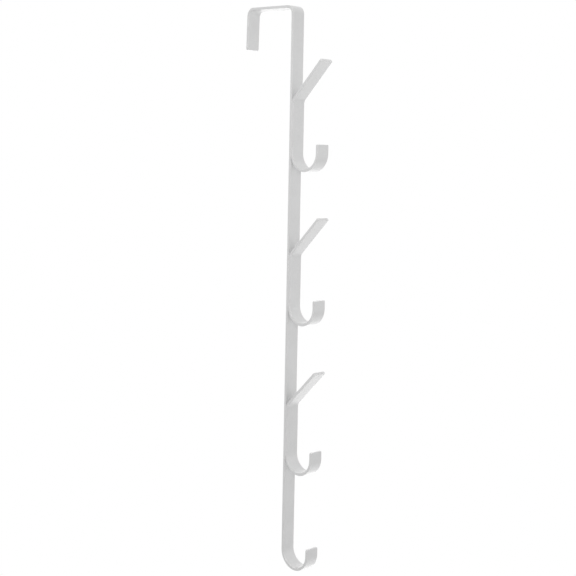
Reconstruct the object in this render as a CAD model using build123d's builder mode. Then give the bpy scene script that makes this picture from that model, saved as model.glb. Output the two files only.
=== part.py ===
# Over door hook: one long flat strip bent over the top of a door and turned up at its foot,
# with three double hooks of the same strip welded flat on its front.
# X runs across the strip, -Y into the room, +Z up. The origin is the middle of the face
# under the top bar that rests on the door.
import os
from math import cos, radians, sin, tan

from build123d import *

# The flat bar that every piece is bent from
strip_width = 12.0
strip_thickness = 2.0
edge_break = 0.2
corner_round = 1.0

# The clip over the door: its bar climbs a little to the back, and its tab stays square to the bar
door_gap = 48.0
clip_bend_radius = 4.4
clip_climb = 1.7
tab_length = 30.6

# The long strip, from the underside of the top bar to the bottom of its own hook
strip_drop = 443.4
end_tip_rise = 20.3

# The double hooks: each height is measured from the bottom of the hook
bowl_radius = 12.45
upper_hook_drop = 125.6
hook_pitch = 119.7
hook_tip_rise = 21.0
hook_back_rise = 52.2
prong_bend_radius = 5.4
prong_angle = 45.0
prong_length = 39.0

# Spot weld marks on the back of the long strip, two behind each double hook
weld_mark_diameter = 5.0
weld_mark_depth = 0.25
weld_inset = 8.0

# Faces that the pieces share, seen from the side
door_face = -door_gap / 2
weld_face = door_face - strip_thickness
bowl_outer_radius = bowl_radius + strip_thickness
hook_bottoms = {
    "upper_hook": -upper_hook_drop,
    "middle_hook": -upper_hook_drop - hook_pitch,
    "lower_hook": -upper_hook_drop - 2 * hook_pitch,
}
weld_heights = []
for bottom in hook_bottoms.values():
    weld_heights.append(bottom + bowl_outer_radius + weld_inset)
    weld_heights.append(bottom + hook_back_rise - weld_inset)


def dress_bar(bar):
    """Round the corners of both cut ends, then break the sharp edge that runs round each flat."""
    end_edges = bar.faces().filter_by(Axis.X).edges().filter_by(GeomType.LINE).sort_by(SortBy.LENGTH)[:4]
    fillet(end_edges, corner_round)
    flat_edges = bar.edges().filter_by(Axis.Z).sort_by(SortBy.LENGTH)[-4:]
    chamfer(flat_edges, edge_break)


os.makedirs("parts", exist_ok=True)

# Long strip: hook at the foot, straight leg down the door, bar over its top, short tab behind.
# The path follows the face that lies against the door.
climb = radians(clip_climb)
bar_start_y = door_face + clip_bend_radius * (1 - sin(climb))
bar_end_y = door_gap / 2 - clip_bend_radius * (sin(climb) + cos(climb))
leg_top_z = bar_start_y * tan(climb) - clip_bend_radius * cos(climb)
tab_straight = tab_length - clip_bend_radius
with BuildPart() as door_strip:
    with BuildSketch(Plane.YZ):
        with BuildLine():
            tip_y = door_face - 2 * bowl_outer_radius
            bowl_z = -strip_drop + bowl_outer_radius
            tip = Line((tip_y, -strip_drop + end_tip_rise), (tip_y, bowl_z))
            bowl = JernArc(tip @ 1, tip % 1, bowl_outer_radius, 180)
            leg = Line(bowl @ 1, (door_face, leg_top_z))
            front_bend = JernArc(leg @ 1, leg % 1, clip_bend_radius, clip_climb - 90)
            top_bar = Line(front_bend @ 1, (bar_end_y, bar_end_y * tan(climb)))
            back_bend = JernArc(top_bar @ 1, top_bar % 1, clip_bend_radius, -90)
            Line(back_bend @ 1, back_bend @ 1 + tab_straight * (back_bend % 1))
            offset(amount=strip_thickness, side=Side.LEFT)
        make_face()
    extrude(amount=strip_width / 2, both=True)
    dress_bar(door_strip)
    # Each weld mark is the shallow cap that a large ball leaves in the flat
    mark_radius = weld_mark_diameter / 2
    ball_radius = (mark_radius**2 + weld_mark_depth**2) / (2 * weld_mark_depth)
    with Locations([(0, door_face + ball_radius - weld_mark_depth, z) for z in weld_heights]):
        Sphere(ball_radius, mode=Mode.SUBTRACT)
door_strip.part.label = "door_strip"
export_step(door_strip.part, "parts/door_strip.step")

# Double hooks: upturned hook below, flat back on the long strip, slanted prong above.
# The path follows the back face, which lies on the long strip.
for hook_name, hook_bottom in hook_bottoms.items():
    with BuildPart() as double_hook:
        with BuildSketch(Plane.YZ):
            with BuildLine():
                tip_y = weld_face - 2 * bowl_outer_radius
                bowl_z = hook_bottom + bowl_outer_radius
                tip = Line((tip_y, hook_bottom + hook_tip_rise), (tip_y, bowl_z))
                bowl = JernArc(tip @ 1, tip % 1, bowl_outer_radius, 180)
                back = Line(bowl @ 1, (weld_face, hook_bottom + hook_back_rise))
                elbow = JernArc(back @ 1, back % 1, prong_bend_radius + strip_thickness, prong_angle)
                Line(elbow @ 1, elbow @ 1 + prong_length * (elbow % 1))
                offset(amount=strip_thickness, side=Side.LEFT)
            make_face()
        extrude(amount=strip_width / 2, both=True)
        dress_bar(double_hook)
    double_hook.part.label = hook_name
    export_step(double_hook.part, f"parts/{hook_name}.step")
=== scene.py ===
from math import pi, radians

import bpy
from mathutils import Matrix, Vector


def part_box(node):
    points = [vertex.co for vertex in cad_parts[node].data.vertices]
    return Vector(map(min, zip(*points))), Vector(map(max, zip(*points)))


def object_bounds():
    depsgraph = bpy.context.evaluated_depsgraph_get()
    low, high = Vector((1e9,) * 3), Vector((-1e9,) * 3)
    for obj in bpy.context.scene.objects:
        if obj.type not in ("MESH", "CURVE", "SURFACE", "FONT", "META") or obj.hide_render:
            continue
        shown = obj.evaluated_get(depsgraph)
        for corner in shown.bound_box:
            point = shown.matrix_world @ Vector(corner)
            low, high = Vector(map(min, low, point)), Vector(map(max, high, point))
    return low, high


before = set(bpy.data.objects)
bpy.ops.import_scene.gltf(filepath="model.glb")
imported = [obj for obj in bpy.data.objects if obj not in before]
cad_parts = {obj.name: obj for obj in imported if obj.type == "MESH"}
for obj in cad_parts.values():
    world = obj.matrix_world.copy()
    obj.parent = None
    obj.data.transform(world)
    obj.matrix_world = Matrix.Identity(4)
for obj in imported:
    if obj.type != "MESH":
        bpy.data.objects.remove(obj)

cad_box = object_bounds()

# Long strip
# One length of mild steel flat bar, bent cold over formers with its cut ends dressed round.
# The whole hook is sprayed with white powder after welding and baked to a satin coat.
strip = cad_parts["door_strip"]
strip_low, strip_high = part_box("door_strip")
half_width = (strip_high[0] - strip_low[0]) / 2


def link(tree, source, target):
    """A link from an output socket to an input socket."""
    tree.links.new(source, target)


def node(tree, kind, **values):
    """A node of that kind, with its properties set by name and its inputs by socket name."""
    made = tree.nodes.new(kind)
    for name, value in values.items():
        socket_name = name.replace("_", " ").title()
        if socket_name in made.inputs:
            made.inputs[socket_name].default_value = value
        else:
            setattr(made, name, value)
    return made


def maths(tree, operation, first, second=None):
    """A Math node; each input is a number or the socket that feeds it."""
    made = tree.nodes.new("ShaderNodeMath")
    made.operation = operation
    for index, value in enumerate((first, second)):
        if isinstance(value, bpy.types.NodeSocket):
            link(tree, value, made.inputs[index])
        elif value is not None:
            made.inputs[index].default_value = value
    return made.outputs[0]


def spread(tree, value, from_span, to_span):
    """A smooth Map Range of a socket, from one span of values to another."""
    made = tree.nodes.new("ShaderNodeMapRange")
    made.interpolation_type = "SMOOTHSTEP"
    link(tree, value, made.inputs["Value"])
    for end, from_value, to_value in zip(("Min", "Max"), from_span, to_span):
        made.inputs[f"From {end}"].default_value = from_value
        made.inputs[f"To {end}"].default_value = to_value
    return made.outputs["Result"]


# The powder film as a node group: slow drifts in its tone, a thinner film where it draws back from
# the edges of the bar, the orange peel of baked powder, and a few nibs of dust under it.
film = bpy.data.node_groups.new("powder_film", "ShaderNodeTree")
film.interface.new_socket("Place", in_out="INPUT", socket_type="NodeSocketVector")
film.interface.new_socket("Half Width", in_out="INPUT", socket_type="NodeSocketFloat")
film.interface.new_socket("Full Film", in_out="INPUT", socket_type="NodeSocketColor")
film.interface.new_socket("Thin Film", in_out="INPUT", socket_type="NodeSocketColor")
film.interface.new_socket("Colour", in_out="OUTPUT", socket_type="NodeSocketColor")
film.interface.new_socket("Roughness", in_out="OUTPUT", socket_type="NodeSocketFloat")
film.interface.new_socket("Height", in_out="OUTPUT", socket_type="NodeSocketFloat")
given = film.nodes.new("NodeGroupInput")
result = film.nodes.new("NodeGroupOutput")

drift = node(film, "ShaderNodeTexNoise", scale=38.0, detail=3.0)
peel = node(film, "ShaderNodeTexNoise", scale=520.0, detail=1.5)
grain = node(film, "ShaderNodeTexNoise", scale=3200.0, detail=2.0)
nibs = node(film, "ShaderNodeTexVoronoi", scale=110.0)
for texture in (drift, peel, grain, nibs):
    link(film, given.outputs["Place"], texture.inputs["Vector"])
noise_span = (0.3, 0.7)
wide_noise_span = (0.25, 0.75)

# The film is thin for a fraction of a millimetre in from the sides of the bar, unevenly along them
edge_band = (0.00005, 0.0007)
edge_thinning = (0.85, 0.0)
uneven_thinning = (0.8, 1.0)
across = film.nodes.new("ShaderNodeSeparateXYZ")
link(film, given.outputs["Place"], across.inputs["Vector"])
from_middle = maths(film, "ABSOLUTE", across.outputs["X"])
edge_distance = maths(film, "SUBTRACT", given.outputs["Half Width"], from_middle)
thin = spread(film, edge_distance, edge_band, edge_thinning)
thin = maths(film, "MULTIPLY", thin, spread(film, drift.outputs["Fac"], noise_span, uneven_thinning))

# About one cell of the nib pattern in five holds a nib, and the radius of a nib is given in cells
nib_radius = 0.045
nib_threshold = 0.8
nib = spread(film, nibs.outputs["Distance"], (0.0, nib_radius), (1.0, 0.0))
cell = film.nodes.new("ShaderNodeSeparateColor")
link(film, nibs.outputs["Color"], cell.inputs["Color"])
nib = maths(film, "MULTIPLY", nib, maths(film, "GREATER_THAN", cell.outputs["Red"], nib_threshold))

# Colour: from the full to the thin tone, with the drifts and slightly paler nibs
drift_tone = (0.982, 1.018)
nib_tone = 0.02
coat = node(film, "ShaderNodeMix", data_type="RGBA")
link(film, thin, coat.inputs["Factor"])
link(film, given.outputs["Full Film"], coat.inputs["A"])
link(film, given.outputs["Thin Film"], coat.inputs["B"])
tone = spread(film, drift.outputs["Fac"], noise_span, drift_tone)
tone = maths(film, "ADD", tone, maths(film, "MULTIPLY", nib, nib_tone))
toned = film.nodes.new("ShaderNodeHueSaturation")
link(film, coat.outputs["Result"], toned.inputs["Color"])
link(film, tone, toned.inputs["Value"])
link(film, toned.outputs["Color"], result.inputs["Colour"])

# Roughness: a satin gloss that drifts and is broken up by the fine grain
drift_roughness = (0.25, 0.31)
grain_roughness = (-0.02, 0.02)
dullness = spread(film, drift.outputs["Fac"], wide_noise_span, drift_roughness)
dullness = maths(film, "ADD", dullness, spread(film, grain.outputs["Fac"], noise_span, grain_roughness))
link(film, dullness, result.inputs["Roughness"])

# Height: the orange peel, with the fine grain and the nibs on it
grain_height = 0.18
nib_height = 0.5
grain_relief = maths(film, "MULTIPLY", grain.outputs["Fac"], grain_height)
relief = maths(film, "ADD", peel.outputs["Fac"], grain_relief)
relief = maths(film, "ADD", relief, maths(film, "MULTIPLY", nib, nib_height))
link(film, relief, result.inputs["Height"])


def powder_coat(name, full_film, thin_film):
    """A satin powder coat on flat bar, in its full and its thin tone."""
    material = bpy.data.materials.new(name)
    material.use_nodes = True
    tree = material.node_tree
    shader = tree.nodes["Principled BSDF"]
    shader.inputs["IOR"].default_value = 1.5
    place = tree.nodes.new("ShaderNodeTexCoord")
    coat_film = tree.nodes.new("ShaderNodeGroup")
    coat_film.node_tree = film
    coat_film.inputs["Half Width"].default_value = half_width
    coat_film.inputs["Full Film"].default_value = (*full_film, 1.0)
    coat_film.inputs["Thin Film"].default_value = (*thin_film, 1.0)
    link(tree, place.outputs["Object"], coat_film.inputs["Place"])
    link(tree, coat_film.outputs["Colour"], shader.inputs["Base Color"])
    link(tree, coat_film.outputs["Roughness"], shader.inputs["Roughness"])
    relief_bump = node(tree, "ShaderNodeBump", strength=0.2, distance=0.00003)
    link(tree, coat_film.outputs["Height"], relief_bump.inputs["Height"])
    link(tree, relief_bump.outputs["Normal"], shader.inputs["Normal"])
    return material


def paint(piece, material):
    """The material as the only one of a piece."""
    piece.data.materials.clear()
    piece.data.materials.append(material)


white_powder = powder_coat("white_powder", full_film=(0.75, 0.75, 0.75), thin_film=(0.70, 0.70, 0.70))
paint(strip, white_powder)

# Double hooks
# Three short lengths of the same bar, each bent to a slanted prong above and a round hook below.
# They are spot welded flat on the long strip and coated with it.
for hook_name in ("upper_hook", "middle_hook", "lower_hook"):
    paint(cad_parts[hook_name], white_powder)

# Floor and light
# A white floor far below the hanging hook and a soft even surround, with a key lamp to the left, weak
# lamps overhead, to the right and behind, and a low one that stands for the bounce from a white table.
floor_drop = 0.8
floor_size = 12.0
floor_z = strip_low[2] - floor_drop
bpy.ops.mesh.primitive_plane_add(size=floor_size, location=(0, 0, floor_z))
floor = bpy.context.object
floor.name = "floor"


def seen_ray(tree):
    """1 for rays that show the surroundings themselves: to the camera, in gloss and through glass."""
    path = tree.nodes.new("ShaderNodeLightPath")
    shown = maths(tree, "MAXIMUM", path.outputs["Is Camera Ray"], path.outputs["Is Glossy Ray"])
    return maths(tree, "MAXIMUM", shown, path.outputs["Is Transmission Ray"])


# The paper shows a little shading below the hook, and fades to plain white further out
white = (1.0, 1.0, 1.0, 1.0)
paper_colour = (0.92, 0.92, 0.92, 1.0)
fade_reach = (0.4, 1.8)
fade_whiteness = (0.9, 1.0)
floor_paper = bpy.data.materials.new("white_paper")
floor_paper.use_nodes = True
paper = floor_paper.node_tree
paper.nodes.clear()
matt = node(paper, "ShaderNodeBsdfDiffuse", color=paper_colour)
glow = node(paper, "ShaderNodeEmission", color=white, strength=1.0)
paper_mix = paper.nodes.new("ShaderNodeMixShader")
paper_out = paper.nodes.new("ShaderNodeOutputMaterial")
spot = paper.nodes.new("ShaderNodeTexCoord")
reach = node(paper, "ShaderNodeVectorMath", operation="LENGTH")
link(paper, spot.outputs["Object"], reach.inputs[0])
whiteness = spread(paper, reach.outputs["Value"], fade_reach, fade_whiteness)
link(paper, maths(paper, "MULTIPLY", seen_ray(paper), whiteness), paper_mix.inputs["Fac"])
link(paper, matt.outputs[0], paper_mix.inputs[1])
link(paper, glow.outputs[0], paper_mix.inputs[2])
link(paper, paper_mix.outputs[0], paper_out.inputs["Surface"])
paint(floor, floor_paper)

surround = bpy.data.worlds.new("white_surround")
surround.use_nodes = True
bpy.context.scene.world = surround
sky = surround.node_tree
sky.nodes.clear()
soft_light = node(sky, "ShaderNodeBackground", color=white, strength=0.53)
backdrop = node(sky, "ShaderNodeBackground", color=white, strength=1.0)
sky_mix = sky.nodes.new("ShaderNodeMixShader")
sky_out = sky.nodes.new("ShaderNodeOutputWorld")
link(sky, seen_ray(sky), sky_mix.inputs["Fac"])
link(sky, soft_light.outputs[0], sky_mix.inputs[1])
link(sky, backdrop.outputs[0], sky_mix.inputs[2])
link(sky, sky_mix.outputs[0], sky_out.inputs["Surface"])

middle = Vector((0, (cad_box[0][1] + cad_box[1][1]) / 2, (strip_low[2] + strip_high[2]) / 2))


def softbox(name, offset, size, power):
    """A square lamp at an offset from the middle of the hook, facing it, and not itself in the picture."""
    lamp = bpy.data.lights.new(name, "AREA")
    lamp.shape = "SQUARE"
    lamp.size = size
    lamp.energy = power
    holder = bpy.data.objects.new(name, lamp)
    bpy.context.collection.objects.link(holder)
    place = middle + Vector(offset)
    facing = (middle - place).to_track_quat("-Z", "Y")
    holder.matrix_world = Matrix.Translation(place) @ facing.to_matrix().to_4x4()
    holder.visible_camera = False


softbox("overhead_softbox", offset=(0.0, 0.0, 0.9), size=1.0, power=1.46)
softbox("key_softbox", offset=(-0.8, -0.45, 0.4), size=0.4, power=3.45)
softbox("right_softbox", offset=(0.6, -0.5, 0.0), size=0.5, power=0.43)
softbox("rim_softbox", offset=(0.7, 0.5, 0.1), size=0.6, power=0.70)
softbox("table_bounce", offset=(0.5, 0.1, -0.55), size=1.0, power=3.02)

# Camera
# It stands to the left of the hook's front, level with the bowl of the upper hook, and looks slightly
# down, as the photograph does. The focal length and the side of the photograph are in pixels.
camera_place = Vector((-0.617270, -0.640367, -0.115178))
camera_azimuth = radians(-44.852)
camera_tilt = radians(6.675)
camera_roll = radians(1.099)
photo_side = 576
photo_focal = 1110.12
lens = bpy.data.cameras.new("photo_camera")
lens.sensor_width = 36.0
lens.lens = photo_focal / photo_side * lens.sensor_width
camera = bpy.data.objects.new("photo_camera", lens)
bpy.context.collection.objects.link(camera)
aim = Matrix.Rotation(camera_azimuth, 4, "Z") @ Matrix.Rotation(pi / 2 - camera_tilt, 4, "X")
camera.matrix_world = Matrix.Translation(camera_place) @ aim @ Matrix.Rotation(camera_roll, 4, "Z")
bpy.context.scene.camera = camera
bpy.context.scene.view_settings.view_transform = "Standard"
